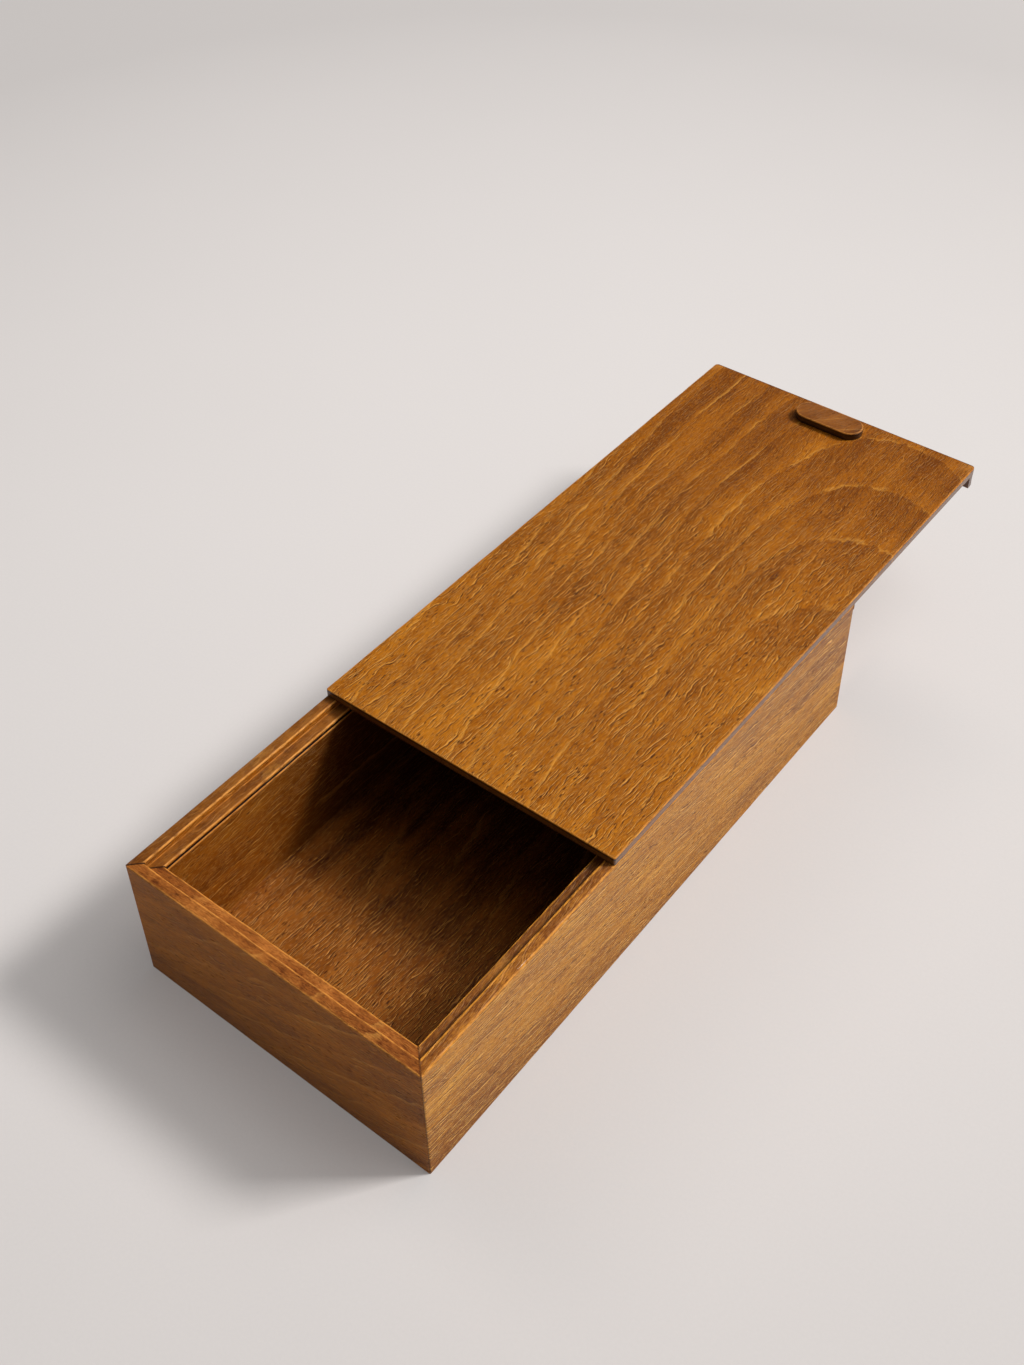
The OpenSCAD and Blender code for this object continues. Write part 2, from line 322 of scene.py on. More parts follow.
def brassMaterial(name):
    material = bpy.data.materials.new(name)
    shader = Shader(material)
    place = shader.node("TexCoord", out="Object")
    scratch = shader.noise(shader.scaled(place, (2200, 300, 2200)), detail=3.0)
    tarnish = shader.noise(shader.scaled(place, (260, 260, 260)), detail=3.0)
    colour = shader.mix(srgb(222, 186, 110), srgb(150, 112, 58), tarnish.smooth(0.42, 0.68))
    bump = shader.node("Bump", {}, {"Strength": 0.4, "Distance": 0.02 * mm, "Height": scratch})
    surface = shader.node("BsdfPrincipled", {}, {
        "Base Color": colour, "Metallic": 1.0, "Roughness": scratch * 0.25 + 0.22, "Normal": bump})
    shader.node("OutputMaterial", {}, {"Surface": surface})
    return material


sideOrder = ("Z", "Y", "X")
endOrder = ("Z", "X", "Y")
woods = {
    "lid": woodMaterial("lidWood", lean=(60.0, 250.0, 0.29), calm=(90.0, 190.0), archPower=2.2,
                        bands=0.32, blotch=0.24, fibre=0.38, strokes=0.8, longStrokes=0.75,
                        dark=srgb(112, 56, 4), middle=srgb(162, 92, 11), light=srgb(196, 121, 25),
                        gold=srgb(228, 160, 66)),
    "rightWall": woodMaterial("rightWallWood", order=sideOrder, tilt=-7.0, offset=(0.0, 40.0, 0.0),
                              pith=(60.0, 0.05), arch=(16.0, -0.005), ringPitch=9.0, ringLine=0.3,
                              dark=srgb(134, 76, 8), middle=srgb(184, 117, 20), light=srgb(216, 150, 42),
                              sawnTones=(srgb(88, 42, 8), srgb(140, 80, 24), srgb(194, 124, 44)),
                              gold=srgb(240, 180, 94), worn=srgb(226, 150, 54), poreColour=srgb(84, 40, 4),
                              strokes=0.85, longStrokes=0.8, strokePitch=1.2, strokeRun=8.0, strokeWidth=0.3,
                              waviness=0.7, fibre=0.36, bands=0.48, middleGlow=(32.0, 28.0, 0.2),
                              lean=(0.0, 250.0, 0.13)),
    "leftWall": woodMaterial("leftWallWood", order=sideOrder, tilt=4.0, offset=(30.0, -60.0, 200.0),
                             ringPitch=12.0, ringLine=0.3, strokes=0.6,
                             sawnTones=(srgb(77, 36, 6), srgb(124, 70, 19), srgb(160, 99, 36)),
                             dark=srgb(112, 55, 6), middle=srgb(164, 91, 14), light=srgb(192, 116, 30)),
    "frontWall": woodMaterial("frontWallWood", order=endOrder, tilt=8.0, offset=(0.0, 20.0, 90.0),
                              pith=(60.0, 0.3), arch=(12.0, 0.01), ringPitch=11.0, ringLine=0.35,
                              dark=srgb(124, 66, 9), middle=srgb(176, 102, 16), light=srgb(198, 122, 32),
                              strokes=0.4, longStrokes=0.35, pores=0.5, fibre=0.34,
                              lean=(-25.0, 120.0, 0.16)),
    "backWall": woodMaterial("backWallWood", order=endOrder, tilt=-5.0, offset=(10.0, 90.0, 300.0),
                             ringPitch=14.0, ringLine=0.3, strokes=0.4, longStrokes=0.4),
    # the floor is painted darker towards the back, in the shade under the lid, where its strokes fade too
    "floor": woodMaterial("floorWood", offset=(150.0, 0.0, 60.0), ringPitch=19.0, ringLine=0.2,
                          strokes=0.9, longStrokes=0.7, strokePitch=1.2, strokeRun=5.5, relief=0.16,
                          waviness=0.6, lean=(-78.0, 100.0, 0.5), calm=(-75.0, -30.0),
                          gold=srgb(212, 146, 66),
                          dark=srgb(66, 27, 2), middle=srgb(133, 73, 15), light=srgb(163, 98, 33)),
    "guide": woodMaterial("guideWood", offset=(400.0, 0.0, 30.0), ringLine=0.2,
                          dark=srgb(66, 30, 6), middle=srgb(104, 58, 16), light=srgb(130, 78, 28)),
    "pull": woodMaterial("pullWood", order=("Y", "X", "Z"), tilt=62.0, offset=(60.0, 0.0, 0.0),
                         ringPitch=6.0, ringLine=0.2, strokes=0.12, longStrokes=0.12, pores=0.3,
                         blotch=0.55, bands=0.5, dark=srgb(106, 58, 20), middle=srgb(146, 86, 32),
                         light=srgb(168, 106, 44)),
    "spline": woodMaterial("splineWood", order=("X", "Z", "Y"), dark=srgb(150, 112, 66),
                           middle=srgb(188, 150, 98), light=srgb(210, 176, 122), gold=srgb(226, 200, 150),
                           worn=srgb(226, 200, 150)),
    "brass": brassMaterial("screwBrass"),
}
print("materials:", len(woods))


# mesh helpers

def finishPiece(name, mesh, material, body, node):  # the node is the CAD piece it stands for
    data = bpy.data.meshes.new(name)
    mesh.to_mesh(data)
    mesh.free()
    piece = bpy.data.objects.new(name, data)
    bpy.context.scene.collection.objects.link(piece)
    data.materials.append(material)
    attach(piece, body)
    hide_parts(node)


def layer(mesh, name):
    return mesh.verts.layers.float.get(name) or mesh.verts.layers.float.new(name)


def bevelEdges(mesh, edges, radius, segments=4):  # a rounded arris
    bmesh.ops.bevel(mesh, geom=edges, offset=radius, offset_type="OFFSET", affect="EDGES",
                    segments=segments, profile=0.5, material=-1, clamp_overlap=True)


def smoothRounds(mesh):                           # flats stay flat, rounded arrises and corners are smooth
    mesh.normal_update()
    for face in mesh.faces:
        face.smooth = max(abs(part) for part in face.normal) < 0.9999


def slices(mesh, axis, low, high, step):          # edge loops across the piece, for the wear to follow
    count = max(2, round((high - low) / step))
    normal = Vector((axis == 0, axis == 1, axis == 2))
    for i in range(1, count):
        cut(mesh, normal * (low + (high - low) * i / count), normal)


def roughen(mesh, depth, seed):                   # worn arrises are never quite straight
    wear = layer(mesh, "wear")
    mesh.normal_update()
    broadSize, closeSize = 9 * mm, 2.2 * mm
    moves = []
    for vert in mesh.verts:
        if vert[wear] > 0.01:
            broad = noise.noise(vert.co / broadSize + Vector((seed, 0, 0)))
            close = noise.noise(vert.co / closeSize + Vector((0, seed, 0)))
            amount = max(0.0, 0.35 + 0.9 * broad + 0.6 * close) * depth * vert[wear]
            moves.append((vert, vert.normal * -amount))
    for vert, move in moves:
        vert.co += move


# the four walls, mitred, with a rabbeted rim and a groove for the lid's runners

wall = {
    "rimWidth": 4.3 * mm,
    "rabbetDepth": 2.8 * mm,
    "ledgeThickness": 1.0 * mm,
    "grooveHeight": 1.4 * mm,
    "grooveDepth": 1.8 * mm,
    "floorThickness": 6.8 * mm,
    "floorSeat": 4.35 * mm,
    "outerArris": 0.4 * mm,            # radius of the rounded edges, outside and inside
    "innerArris": 0.4 * mm,
    "sharpArris": 0.05 * mm,           # reach of the wear on edges that aren't rounded
    "footWear": 0.25,                  # along the outer lower edge
    "floorLineWear": 0.5,              # where the wall meets the floor inside
    "wearFade": 0.3 * mm,              # how far the worn look spreads onto the flats
    "wearDepth": 0.2 * mm,
    "stepShade": 0.45 * mm,            # width of the painted shade line at the foot of the rim
    # how dark the painted shade at the foot of the rim is
    "stepShadeStrength": 0.8,
    "grooveLip": 0.2 * mm,             # the groove is painted with shade from here inwards
    "ledgeGlint": 0.3 * mm,            # pale edge below the ledge, before the painted shade inside starts
    "floorLine": 0.5 * mm,
    "cornerRadius": 0.9 * mm,
    "cornerLoops": (0.25, 0.5, 0.75, 1.0, 2.0),   # in radii from the end
    "seamWidth": 0.2 * mm,             # dark glue line of the mitre
    "seamTop": 1.0 * mm,               # below this the line is faint on the outer corner
    "seamFaint": 0.35,
    "sliceStep": 3.2 * mm,
    "lidClearance": 0.05 * mm,         # the lid slides just above the rims
    "paintedShadeFrom": -80 * mm,              # painted shade: the inside is darker than the outside, and darkest under the lid
    "paintedShadeTo": -40 * mm,
    "paintedShadeNear": 0.42,
    "paintedShadeFar": 0.85,
}


def wallHeights(height):                          # the ledge, and the groove's upper and lower side
    ledge = height + wall["lidClearance"] - wall["rabbetDepth"]
    grooveTop = ledge - wall["ledgeThickness"]
    return ledge, grooveTop, grooveTop - wall["grooveHeight"]


def wallSection(thickness, height, grooved, rimmed):      # across and up, from the outer lower arris
    ledge, grooveTop, grooveFoot = wallHeights(height)
    seat = thickness - wall["floorSeat"]
    section = [(0, 0), (seat, 0), (seat, wall["floorThickness"]), (thickness, wall["floorThickness"])]
    if grooved:
        back = thickness - wall["grooveDepth"]
        section += [(thickness, grooveFoot), (back, grooveFoot), (back, grooveTop), (thickness, grooveTop)]
    section += [(thickness, ledge)]
    if rimmed:
        section += [(wall["rimWidth"], ledge), (wall["rimWidth"], height), (0, height)]
    else:
        section += [(0, ledge)]
    return section


def longEdges(mesh, across, up):                  # edges all along a piece, at one corner of its section
    near = 0.02 * mm
    return [edge for edge in mesh.edges
            if all(abs(v.co.y - across) < near and abs(v.co.z - up) < near for v in edge.verts)
            and abs(edge.verts[0].co.x - edge.verts[1].co.x) > 20 * mm]


def cut(mesh, place, normal):
    everything = mesh.verts[:] + mesh.edges[:] + mesh.faces[:]
    bmesh.ops.bisect_plane(mesh, geom=everything, dist=1e-7, plane_co=place, plane_no=normal)


def buildWall(name, node, length, turn, grooved, rimmed, worn, material, seed):
    low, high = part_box(node)
    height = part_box("left_wall")[1].z - wall["lidClearance"]
    thickness = min(high.x - low.x, high.y - low.y)
    half = length / 2
    mesh = bmesh.new()
    wear, stain, sawn, aged = (layer(mesh, kind) for kind in ("wear", "stain", "sawn", "aged"))
    section = wallSection(thickness, height, grooved, rimmed)
    start = [mesh.verts.new((across - half, across, up)) for across, up in section]
    mesh.faces.new(start)
    grown = bmesh.ops.extrude_face_region(mesh, geom=mesh.faces[:])
    for vert in grown["geom"]:
        if isinstance(vert, bmesh.types.BMVert):
            vert.co.x = half - vert.co.y
    bmesh.ops.recalc_face_normals(mesh, faces=mesh.faces)

    ledge, grooveTop, grooveFoot = wallHeights(height)
    top = height if rimmed else ledge
    outer, inner, fade = wall["outerArris"], wall["innerArris"], wall["wearFade"]
    bevelEdges(mesh, longEdges(mesh, 0, top), outer)
    if rimmed:
        bevelEdges(mesh, longEdges(mesh, wall["rimWidth"], top), inner)
    bevelEdges(mesh, longEdges(mesh, thickness, ledge), inner)
    bevelEdges(mesh, longEdges(mesh, 0, 0), outer, segments=3)
    if grooved:
        bevelEdges(mesh, longEdges(mesh, thickness, grooveFoot), inner)
    smoothRounds(mesh)
    rim, floorTop, sharp = wall["rimWidth"], wall["floorThickness"], wall["sharpArris"]
    spread = worn.get("rimSpread", 0.0)
    arrises = [(0, top, outer, worn["outer"]), (thickness, ledge, inner, worn["ledge"]),
               (0, 0, outer, wall["footWear"]), (thickness, floorTop, sharp, wall["floorLineWear"])]
    if rimmed:
        arrises += [(rim, top, inner + spread, worn["rim"]), (rim, ledge, sharp, worn["foot"])]
    if grooved:
        arrises += [(thickness, grooveFoot, inner, worn["groove"])]

    # loops that end the worn look on the flats, and the painted shade in the groove, at the foot of the rim
    # and on the inside
    inside = ledge - inner - wall["ledgeGlint"]
    for across in (outer + fade, thickness - inner - fade, thickness - wall["grooveLip"]):
        cut(mesh, (0, across, 0), (0, 1, 0))
    for up in (top - outer - fade, outer + fade, inside, floorTop + wall["floorLine"]):
        cut(mesh, (0, 0, up), (0, 0, 1))
    if rimmed:
        for across in (rim - inner - spread, rim - inner - spread - fade, rim + wall["stepShade"]):
            cut(mesh, (0, across, 0), (0, 1, 0))
        cut(mesh, (0, 0, ledge + wall["stepShade"]), (0, 0, 1))
    if grooved:
        cut(mesh, (0, 0, grooveFoot - inner - fade), (0, 0, 1))

    # loops along the wall for the wear, close together at the corners, and slanted ones beside the mitres
    radius = wall["cornerRadius"]
    seam = wall["seamWidth"] * math.sqrt(2)       # as measured along the wall
    slices(mesh, 0, -half + radius, half - radius, wall["sliceStep"])
    for side in (-1, 1):
        for part in wall["cornerLoops"]:
            cut(mesh, (side * (half - radius * part), 0, 0), (1, 0, 0))
        for part in (1, 2):
            cut(mesh, (side * (half - seam * part), 0, 0), (side, 1, 0))

    near = 0.02 * mm
    deep = thickness - wall["grooveDepth"]
    for vert in mesh.verts:
        across, up = vert.co.y, vert.co.z
        fromEnd = half - abs(vert.co.x)
        vert[wear] = max((amount for a, u, r, amount in arrises
                          if abs(across - a) < r + near and abs(up - u) < r + near), default=0.0)
        vert[sawn] = float(up > top - outer - near or abs(up - ledge) < near)
        # painted shade on the inner face below the ledge, and on the ledge where the rim shades it
        vert[aged] = float(across > thickness - near and up < inside + 0.01 * mm)
        if abs(up - ledge) < near:
            vert[aged] = worn.get("ledgeShade", 0.0)
        # painted shade at the foot of the rim
        if worn["foot"] == 0 and abs(across - rim) < near and abs(up - ledge) < near:
            vert[stain] = wall["stepShadeStrength"]
        # painted shade in the groove
        if grooved and grooveFoot - near < up < grooveTop + near:
            if deep - near < across < thickness - wall["grooveLip"] + near:
                vert[stain] = 1.0
        if abs(fromEnd - across) < near + seam * 1.05:
            joint = worn["joints"][vert.co.x > 0]
            if across < radius and up < top - wall["seamTop"]:
                joint = min(joint, wall["seamFaint"])
            vert[stain] = max(vert[stain], joint)
            vert[wear] = 0.0
        if fromEnd < radius and across < radius:
            spoke = Vector((fromEnd - radius, across - radius))
            if spoke.length > radius:
                spoke = spoke.normalized() * radius
                vert.co.x = math.copysign(half - radius - spoke.x, vert.co.x)
                vert.co.y = radius + spoke.y
    if "gloss" in worn:                           # wiped with polish, most of it near the top
        polish = layer(mesh, "polish")
        for vert in mesh.verts:
            vert[polish] = 0.0 if vert[wear] > 0 else worn["gloss"] * vert.co.z / height
    roughen(mesh, wall["wearDepth"], seed)
    if not rimmed:                                # the rim's corners, which the side rims end on
        for side in (-1, 1):
            addRimCorner(mesh, side, half, rim, ledge, height)
    if turn in (0, 180):
        outward = Vector((0, low.y if turn == 0 else high.y, 0))
    else:
        outward = Vector((low.x if turn == -90 else high.x, 0, 0))
    spin = Matrix.Rotation(math.radians(turn), 4, "Z")
    bmesh.ops.transform(mesh, matrix=Matrix.Translation(outward) @ spin, verts=mesh.verts)
    # the painted shade inside grows darker towards the back, under the lid
    paintedShadeRange = wall["paintedShadeTo"] - wall["paintedShadeFrom"]
    for vert in mesh.verts:
        share = min(1.0, max(0.0, (vert.co.y - wall["paintedShadeFrom"]) / paintedShadeRange))
        vert[aged] *= wall["paintedShadeNear"] + (wall["paintedShadeFar"] - wall["paintedShadeNear"]) * share
    finishPiece(name, mesh, material, "box", node)


def addRimCorner(mesh, side, half, width, foot, top):     # the small mitred triangle at one end
    corners = [(half, 0), (half - width, 0), (half - width, width)]
    triangle = mesh.faces.new([mesh.verts.new((side * x, y, foot)) for x, y in corners])
    grown = bmesh.ops.extrude_face_region(mesh, geom=[triangle])
    raised = [v for v in grown["geom"] if isinstance(v, bmesh.types.BMVert)]
    bmesh.ops.translate(mesh, verts=raised, vec=(0, 0, top - foot))
    shell = list({face for vert in raised for face in vert.link_faces} | {triangle})
    bmesh.ops.recalc_face_normals(mesh, faces=shell)
    edges = [e for e in mesh.edges if all(abs(v.co.z - top) < 1e-6 for v in e.verts)]
    bevelEdges(mesh, edges, wall["outerArris"] * 0.6, segments=2)


boxLow = Vector((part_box("left_wall")[0].x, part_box("front_wall")[0].y, 0))
boxHigh = Vector((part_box("right_wall")[1].x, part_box("back_wall")[1].y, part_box("left_wall")[1].z))
boxWidth = boxHigh.x - boxLow.x
boxLength = boxHigh.y - boxLow.y

# how worn each arris is, how dark the mitres at the wall's two ends are, and what only one wall has, such as
# painted shade on the right ledge
frontWorn = {"outer": 0.7, "rim": 0.9, "foot": 0.0, "ledge": 0.85, "joints": (0.85, 0.4)}
backWorn = {"outer": 0.4, "rim": 0.0, "foot": 0.0, "ledge": 0.4, "joints": (0.6, 0.6)}
leftWorn = {"outer": 0.1, "rim": 1.0, "foot": 0.8, "ledge": 0.9, "groove": 0.6, "joints": (0.6, 0.85)}
rightWorn = {"outer": 0.85, "rim": 1.0, "foot": 0.0, "ledge": 1.0, "groove": 0.4, "joints": (0.4, 0.6),
             "gloss": 0.3, "ledgeShade": 0.6, "rimSpread": 0.35 * mm}
buildWall("frontWall", "front_wall", boxWidth, 0, False, True, frontWorn, woods["frontWall"], 3)
buildWall("backWall", "back_wall", boxWidth, 180, False, False, backWorn, woods["backWall"], 7)
buildWall("leftWall", "left_wall", boxLength, -90, True, True, leftWorn, woods["leftWall"], 11)
buildWall("rightWall", "right_wall", boxLength, 90, True, True, rightWorn, woods["rightWall"], 17)
print("walls built")


# the lid: a thin plate with a finger pull and a lip at its far end

lid = {
    "cornerRadius": 1.6 * mm,          # seen from above
    "nearCornerRadius": 0.6 * mm,      # the near end is crisper
    "topArris": 0.3 * mm,
    "footArris": 0.3 * mm,
    "topWear": 0.6,
    "wearFade": 0.35 * mm,
    "wearDepth": 0.16 * mm,
    "sideDepth": 0.32 * mm,            # all that is this near to the outline belongs to the sides
    "sideShades": [(0.0, 0.97), (0.3, 0.86), (0.6, 0.7),          # painted shade on the sides: height in mm and strength
                   (1.8, 0.66), (2.3, 0.8), (2.55, 0.97)],
    "edgeShade": 0.97,                 # painted shade: a dark line under the upper arris
    "sideShare": 0.72,                 # the long sides get less painted shade than the near end
    "farWear": 0.1,                    # and the far arris is painted dark with shade
    "farShade": 0.6,
    "wax": 0.9,                        # on the sides
    "sliceStep": 4.0 * mm,
}


def block(low, high):                             # a box between two corners
    mesh = bmesh.new()
    layer(mesh, "wear")
    layer(mesh, "stain")
    size = high - low
    matrix = Matrix.Translation((low + high) / 2) @ Matrix.Diagonal((*size, 1))
    bmesh.ops.create_cube(mesh, size=1, matrix=matrix)
    return mesh


def upright(mesh):                                # edges that stand
    return [e for e in mesh.edges if abs(e.verts[0].co.z - e.verts[1].co.z) > 0.5 * mm]


def level(mesh, height):                          # edges round the piece at one height
    near = 0.01 * mm
    return [e for e in mesh.edges
            if all(abs(v.co.z - height) < near for v in e.verts) and len(e.link_faces) == 2
            and abs(e.calc_face_angle(0)) > math.radians(45)]


def fromOutline(point, low, high, radius, nearRadius=None):      # how far inside a plan with rounded corners
    x = min(point.x - low.x, high.x - point.x)
    y = min(point.y - low.y, high.y - point.y)
    if nearRadius is not None and point.y - low.y < high.y - point.y:
        radius = nearRadius
    if x < radius and y < radius:
        return radius - math.hypot(radius - x, radius - y)
    return min(x, y)


def wearArrises(mesh, low, high, radius, arrises, nearRadius=None):        # arrises: height, radius, amount
    wear = layer(mesh, "wear")
    near = 0.03 * mm
    for vert in mesh.verts:
        inside = fromOutline(vert.co, low, high, radius, nearRadius)
        vert[wear] = max((amount for up, r, amount in arrises
                          if inside < r + near and abs(vert.co.z - up) < r + near), default=0.0)


def shadeAndWaxSides(mesh, low, high, radius, rows, nearRadius=None):    # rows: height and painted shade, from the foot up; the sides are waxed too
    stain, polish = layer(mesh, "stain"), layer(mesh, "polish")
    near = 0.01 * mm
    for vert in mesh.verts:
        up = vert.co.z
        inside = fromOutline(vert.co, low, high, radius, nearRadius)
        if inside < lid["sideDepth"] and rows[0][0] - near <= up <= rows[-1][0] + near:
            below, above = next(pair for pair in zip(rows, rows[1:]) if up <= pair[1][0] + near)
            share = min(1.0, (up - below[0]) / (above[0] - below[0]))
            vert[stain] = below[1] + (above[1] - below[1]) * share
            vert[polish] = lid["wax"]


def buildLidPlate():
    low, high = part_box("lid_plate")
    mesh = block(low, high)
    corner, nearCorner = lid["cornerRadius"], lid["nearCornerRadius"]
    far = [e for e in upright(mesh) if e.verts[0].co.y > 0]
    bevelEdges(mesh, far, corner, segments=6)
    near = [e for e in upright(mesh) if e.verts[0].co.y < low.y + 1e-5]
    bevelEdges(mesh, near, nearCorner, segments=4)
    bevelEdges(mesh, level(mesh, high.z), lid["topArris"])
    lower = [e for e in level(mesh, low.z) if max(v.co.y for v in e.verts) < high.y - 0.01 * mm]
    bevelEdges(mesh, lower, lid["footArris"], segments=3)
    smoothRounds(mesh)
    reach = lid["topArris"] + lid["wearFade"]
    for place, normal in ((low.x + reach, (1, 0, 0)), (high.x - reach, (1, 0, 0)), (low.y + reach, (0, 1, 0)),
                          (high.y - reach, (0, 1, 0)), (high.z - reach, (0, 0, 1))):
        cut(mesh, Vector(normal) * place, normal)
    for axis in (0, 1):
        slices(mesh, axis, low[axis] + 2 * corner, high[axis] - 2 * corner, lid["sliceStep"])
    wearArrises(mesh, low, high, corner, [(high.z, lid["topArris"], lid["topWear"])], nearCorner)
    rows = [(low.z + up * mm, shade) for up, shade in lid["sideShades"]]
    rows += [(high.z - reach, lid["edgeShade"])]
    for up, shade in rows[1:-1]:
        cut(mesh, (0, 0, up), (0, 0, 1))
    shadeAndWaxSides(mesh, low, high, corner, rows, nearCorner)
    stain, wear = layer(mesh, "stain"), layer(mesh, "wear")
    # painted shade: the long sides less dark than the near end, the far arris dark
    for vert in mesh.verts:
        if vert.co.y > low.y + 2 * corner:
            vert[stain] *= lid["sideShare"]
        if vert.co.y > high.y - reach and vert[wear] > 0:
            vert[wear], vert[stain] = lid["farWear"], lid["farShade"]
    roughen(mesh, lid["wearDepth"], 29)
    finishPiece("lidPlate", mesh, woods["lid"], "lid", "lid_plate")


buildLidPlate()

pull = {
    "topArris": 0.45 * mm,
    "footArris": 0.2 * mm,
    "endSegments": 18,                 # round each end
    "topWear": 0.5,
    "wearFade": 0.3 * mm,
    "wearDepth": 0.06 * mm,
    # painted shade on the pull's sides, height in mm and strength, and a dark line under the top arris
    "sideShades": [(0.0, 0.97), (0.35, 0.93), (0.7, 0.84), (1.8, 0.82), (2.2, 0.95)],
    "edgeShade": 0.98,
}


def buildPull():
    low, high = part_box("finger_pull")
    mesh = block(low, high)
    radius = (high.y - low.y) / 2 - 0.02 * mm
    bevelEdges(mesh, upright(mesh), radius, segments=pull["endSegments"])
    bevelEdges(mesh, level(mesh, high.z), pull["topArris"], segments=5)
    bevelEdges(mesh, level(mesh, low.z), pull["footArris"], segments=2)
    smoothRounds(mesh)
    top = [face for face in mesh.faces if face.normal.z > 0.999]
    bmesh.ops.inset_region(mesh, faces=top, thickness=pull["wearFade"], use_even_offset=True)
    reach = high.z - pull["topArris"]
    rows = [(low.z + up * mm, shade) for up, shade in pull["sideShades"]]
    rows += [(reach - 0.05 * mm, pull["edgeShade"])]
    for up, shade in rows[1:]:
        cut(mesh, (0, 0, up), (0, 0, 1))
    shadeAndWaxSides(mesh, low, high, radius, rows)
    wearArrises(mesh, low, high, radius, [(high.z, pull["topArris"], pull["topWear"])])
    roughen(mesh, pull["wearDepth"], 41)
    finishPiece("fingerPull", mesh, woods["pull"], "lid", "finger_pull")


buildPull()

endLip = {
    "roundRadius": 2.8 * mm,           # lower outer edge
    "arris": 0.3 * mm,
    "cornerLoops": (0.1, 0.3, 0.55, 0.8, 1.0),    # in corner radii from the end
    # painted shade on the whole lip, darker on its ends
    "endShade": 0.6,
    "shade": 0.45,
}


def buildEndLip():                                # the strip that turns down at the lid's far end
    low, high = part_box("lid_end_lip")
    corner = lid["cornerRadius"]
    mesh = block(low, high)
    stain, polish = layer(mesh, "stain"), layer(mesh, "polish")
    bevelEdges(mesh, longEdges(mesh, high.y, low.z), endLip["roundRadius"], segments=10)
    bevelEdges(mesh, longEdges(mesh, low.y, low.z), endLip["arris"], segments=3)
    for side in (-1, 1):
        for part in endLip["cornerLoops"]:
            cut(mesh, (side * (high.x - corner * part), 0, 0), (1, 0, 0))
    slices(mesh, 0, low.x + 2 * corner, high.x - 2 * corner, lid["sliceStep"])
    cut(mesh, (0, high.y - corner, 0), (0, 1, 0))
    for vert in mesh.verts:
        fromEnd, fromBack = high.x - abs(vert.co.x), high.y - vert.co.y
        vert[polish] = lid["wax"]
        # painted shade over the lip
        vert[stain] = endLip["endShade"] if fromEnd < 0.01 * mm else endLip["shade"]
        if fromEnd < corner and fromBack < corner:
            spoke = Vector((corner - fromEnd, corner - fromBack))
            if spoke.length > corner:
                spoke = spoke.normalized() * corner
                vert.co.x = math.copysign(high.x - corner + spoke.x, vert.co.x)
                vert.co.y = high.y - corner + spoke.y
    smoothRounds(mesh)
    finishPiece("endLip", mesh, woods["lid"], "lid", "lid_end_lip")


buildEndLip()
print("lid built")


# nodes that keep their own mesh and take a new material

kept = {
    "floor_panel": "floor", "lid_guide_panel": "guide",
    "lid_runner_left": "guide", "lid_runner_right": "guide",
    "spline_front_left": "spline", "spline_front_right": "spline",
    "spline_back_left": "spline", "spline_back_right": "spline",
    "runner_screws_left": "brass", "runner_screws_right": "brass", "pull_screws": "brass",
}
for nodeName, woodName in kept.items():
    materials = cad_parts[nodeName].data.materials
    materials.clear()
    materials.append(woods[woodName])


# floor, light and camera

studio = {
    "floorSize": 8.0,
    "floorColour": srgb(226, 221, 219),
    "floorSwing": 0.25,                # how much paler and darker than that it gets
    "worldColour": (0.97, 0.985, 1.0),
    "worldStrength": 0.16,
    "floorCentre": (-0.12, 0.15, 0.0),            # painted pool of light: the floor is palest here, and darker at this distance
    "floorReach": 0.79,
    "floorGlow": 0.19,                 # share of the floor's own brightness that the camera sees
    "floorFades": (1.1, 2.6),          # far off, the floor turns into the backdrop, m
    "besideColour": srgb(104, 126, 138),          # painted shade: the paper beside the lit wall is darker and cooler, against the wall's warm bounced light
    "besideShare": 0.18,
    "besideReach": 0.09,               # how far out from the wall it fades, m
    "besideStart": 0.01,               # and how far its other sides do
    "besideFront": 0.03,
    "besideBack": 0.05,
    "backdrop": srgb(228, 222, 219),
    "keyFrom": Vector((0.77, 0.77, 1.0)),         # towards the light
    "keyDistance": 6.0,
    "keySize": 1.3,
    "keyPower": 318.0,
    "keyColour": (1.0, 0.985, 0.965),
    "softFrom": Vector((0.5, 0.5, 1.25)),         # a wider box behind the key softens its shadows
    "softSize": 4.6,
    "softPower": 130.0,
}


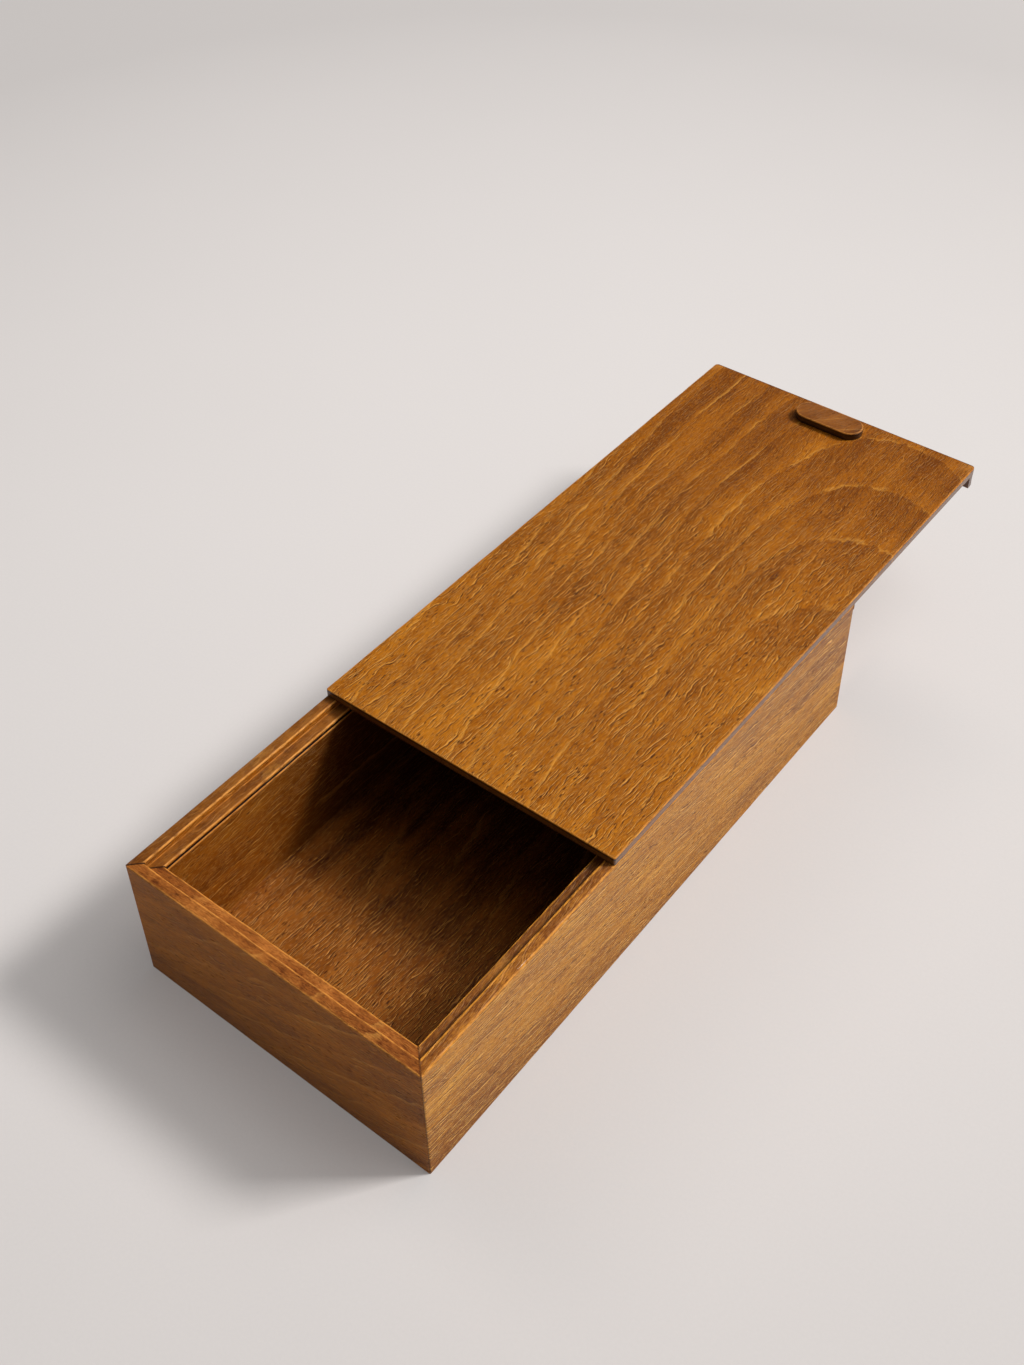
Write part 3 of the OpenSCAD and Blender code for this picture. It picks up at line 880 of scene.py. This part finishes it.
def buildStage():
    mesh = bmesh.new()
    bmesh.ops.create_grid(mesh, x_segments=1, y_segments=1, size=studio["floorSize"] / 2)
    data = bpy.data.meshes.new("studioFloor")
    mesh.to_mesh(data)
    mesh.free()
    floor = bpy.data.objects.new("studioFloor", data)
    bpy.context.scene.collection.objects.link(floor)
    material = bpy.data.materials.new("paper")
    shader = Shader(material)
    place = shader.node("TexCoord", out="Object")
    tooth = shader.noise(shader.scaled(place, (900, 900, 900)), detail=2.0)
    cloud = shader.noise(shader.scaled(place, (9, 9, 9)), detail=3.0)
    ends = {0: place, 1: studio["floorCentre"]}
    away = shader.node("VectorMath", {"operation": "DISTANCE"}, ends, out="Value")
    # painted pool of light round the box, with faint paper grain
    shade = 0.5 + (tooth - 0.5) * 0.10 + (cloud - 0.5) * 0.05 - (away / studio["floorReach"]) ** 2
    paler = tuple(min(1.0, value * (1 + studio["floorSwing"])) for value in studio["floorColour"])
    darker = tuple(value * (1 - studio["floorSwing"]) for value in studio["floorColour"])
    colour = shader.mix(darker, paler, shade)
    x, y = (shader.node("SeparateXYZ", sockets={0: place}, out=axis) for axis in "XY")
    # painted shade on the paper beside the lit wall
    start = studio["besideStart"]
    beside = x.smooth(boxHigh.x - start, boxHigh.x)
    beside = beside * x.smooth(boxHigh.x, boxHigh.x + studio["besideReach"], 1.0, 0.0)
    beside = beside * y.smooth(boxLow.y - studio["besideFront"], boxLow.y + start)
    beside = beside * y.smooth(boxHigh.y, boxHigh.y + studio["besideBack"], 1.0, 0.0)
    colour = shader.mix(colour, studio["besideColour"], beside * studio["besideShare"])
    paper = shader.node("BsdfPrincipled", {}, {
        "Base Color": colour, "Roughness": 0.9, "Specular IOR Level": 0.1})
    kinds = ("Is Camera Ray", "Is Glossy Ray", "Is Transmission Ray")
    camera, glossy, through = (shader.node("LightPath", out=kind) for kind in kinds)
    seen = camera + glossy + through
    glow = shader.node("Emission", {}, {"Color": studio["backdrop"], "Strength": 1.0})
    share = studio["floorGlow"]
    share = share + away.smooth(*studio["floorFades"]) * (1 - share)
    surface = shader.node("MixShader", {}, {0: seen * share, 1: paper, 2: glow})
    shader.node("OutputMaterial", {}, {"Surface": surface})
    data.materials.append(material)


def buildWorld():
    world = bpy.data.worlds.new("studio")
    bpy.context.scene.world = world
    shader = Shader(world)
    kinds = ("Is Camera Ray", "Is Transmission Ray")
    camera, through = (shader.node("LightPath", out=kind) for kind in kinds)
    seen = camera.maths("MAXIMUM", camera, through)
    light = {"Color": studio["worldColour"], "Strength": studio["worldStrength"]}
    fill = shader.node("Background", {}, light)
    backdrop = shader.node("Background", {}, {"Color": studio["backdrop"], "Strength": 1.0})
    surface = shader.node("MixShader", {}, {0: seen, 1: fill, 2: backdrop})
    shader.node("OutputWorld", {}, {"Surface": surface})


def addLight(name, towards, size, power):
    light = bpy.data.lights.new(name, "AREA")
    light.shape = "SQUARE"
    light.size = size
    light.energy = power
    light.color = studio["keyColour"]
    lamp = bpy.data.objects.new(name, light)
    bpy.context.scene.collection.objects.link(lamp)
    lamp.location = towards.normalized() * studio["keyDistance"]
    lamp.rotation_euler = towards.to_track_quat("Z", "Y").to_euler()


view = {
    "place": Vector((241.97, -301.89, 466.92)) * mm,
    "azimuth": 38.86,                  # degrees; 0 looks along +Y
    "elevation": 41.59,
    "roll": -1.16,
    "focalPixels": 1619.87,
    "axisRow": 577.0,                  # image row that the lens axis meets
    "imageHeight": 1365.0,
    "filmSize": 36.0,
}


def buildCamera():
    data = bpy.data.cameras.new("camera")
    data.sensor_fit = "AUTO"
    data.sensor_width = view["filmSize"]
    data.lens = view["focalPixels"] / view["imageHeight"] * view["filmSize"]
    data.shift_y = (view["axisRow"] - view["imageHeight"] / 2) / view["imageHeight"]
    data.clip_start = 0.01
    camera = bpy.data.objects.new("camera", data)
    bpy.context.scene.collection.objects.link(camera)
    aim = Euler((math.radians(90 - view["elevation"]), 0, math.radians(view["azimuth"]))).to_matrix()
    roll = Matrix.Rotation(math.radians(view["roll"]), 3, "Z")
    camera.matrix_world = Matrix.Translation(view["place"]) @ (aim @ roll).to_4x4()
    bpy.context.scene.camera = camera


buildStage()
buildWorld()
addLight("key", studio["keyFrom"], studio["keySize"], studio["keyPower"])
addLight("softBox", studio["softFrom"], studio["softSize"], studio["softPower"])
buildCamera()
bpy.context.scene.view_settings.view_transform = "Standard"
print("studio ready")
